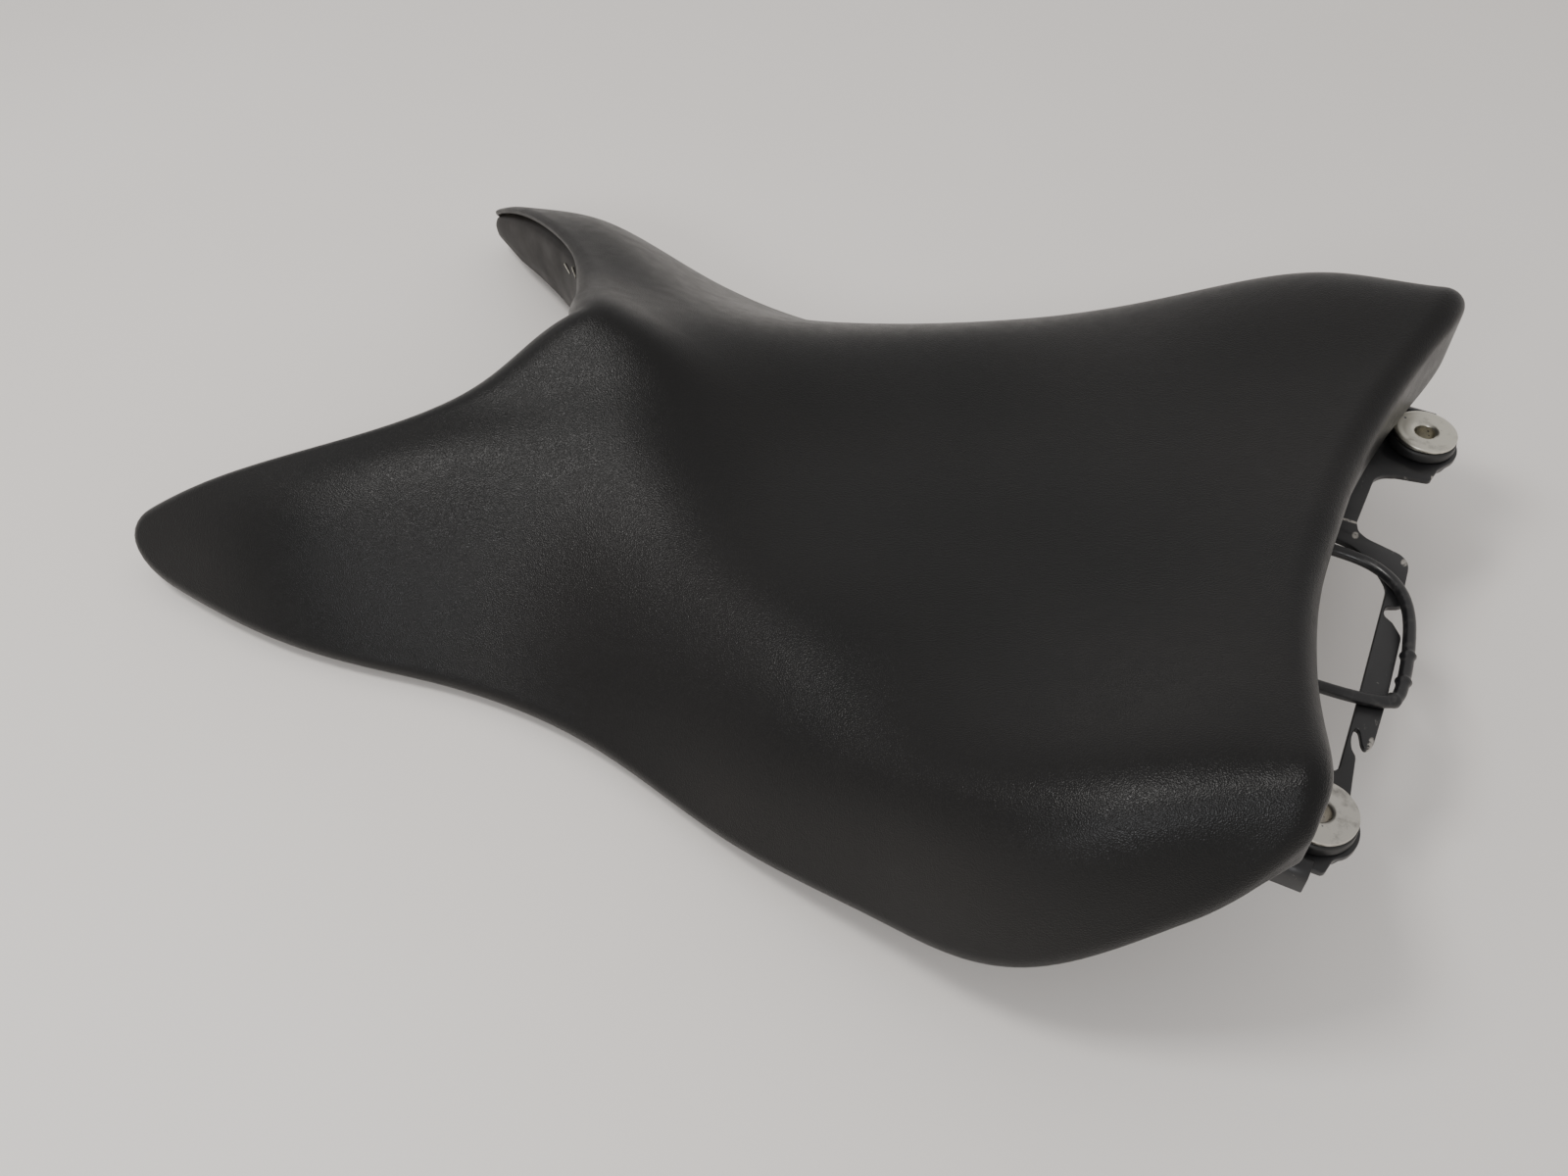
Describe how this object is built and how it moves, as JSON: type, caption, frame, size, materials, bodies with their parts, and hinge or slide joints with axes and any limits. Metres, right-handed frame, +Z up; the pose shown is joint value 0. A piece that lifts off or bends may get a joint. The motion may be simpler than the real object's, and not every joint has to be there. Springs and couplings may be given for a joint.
{
  "type": "motorcycle seat",
  "caption": "Rider's motorcycle seat with forward wings round the tank, a rear steel bracket with rubber-bushed collars, and a cable loop.",
  "frame": {"origin": "on the surface that the seat stands on, under the middle of its box (measured without the cable loop); the axis of the rear mounting collars' line lies at x = -0.2380, z = 0.080 at the collars' tops", "axes": "+X forward, towards the tank; +Y to the rider's left; +Z up"},
  "size_m": [0.5082, 0.3524, 0.127],
  "materials": {
    "vinyl": "black fine-grained vinyl upholstery, semi-matt",
    "foam": "moulded cream polyurethane foam",
    "base_plastic": "black moulded polypropylene",
    "painted_steel": "black satin paint, worn at the edges",
    "zinc_plated_steel": "yellowish zinc plating, slightly tarnished",
    "rubber": "black moulded rubber",
    "cable_coating": "black plastic coating over wire rope"
  },
  "bodies": {
    "root": {"seat_cover": "vinyl", "foam_core": "foam", "seat_base": "base_plastic", "rear_bracket": "painted_steel", "grommet_left": "rubber", "grommet_right": "rubber", "bracket_bolt_left": "zinc_plated_steel", "bracket_bolt_right": "zinc_plated_steel", "bracket_bolt_middle_left": "zinc_plated_steel", "bracket_bolt_middle_right": "zinc_plated_steel", "cable_anchor_left": "base_plastic", "cable_anchor_right": "base_plastic", "anchor_screw_left": "zinc_plated_steel", "anchor_screw_right": "zinc_plated_steel", "cable_loop": "cable_coating", "front_hook": "painted_steel", "hook_rivet_left": "zinc_plated_steel", "hook_rivet_right": "zinc_plated_steel", "bumper_front_left": "rubber", "bumper_front_right": "rubber", "bumper_rear_left": "rubber", "bumper_rear_right": "rubber"},
    "collar_left": {"collar_left": "zinc_plated_steel"},
    "collar_right": {"collar_right": "zinc_plated_steel"}
  },
  "joints": [
    {"name": "collar_left_turn", "type": "hinge", "parent": "root", "child": "collar_left", "pos_m": [-0.238, 0.101, 0.079], "axis": [0, 0, 1], "continuous": true},
    {"name": "collar_right_turn", "type": "hinge", "parent": "root", "child": "collar_right", "pos_m": [-0.238, -0.101, 0.079], "axis": [0, 0, 1], "continuous": true}
  ]
}
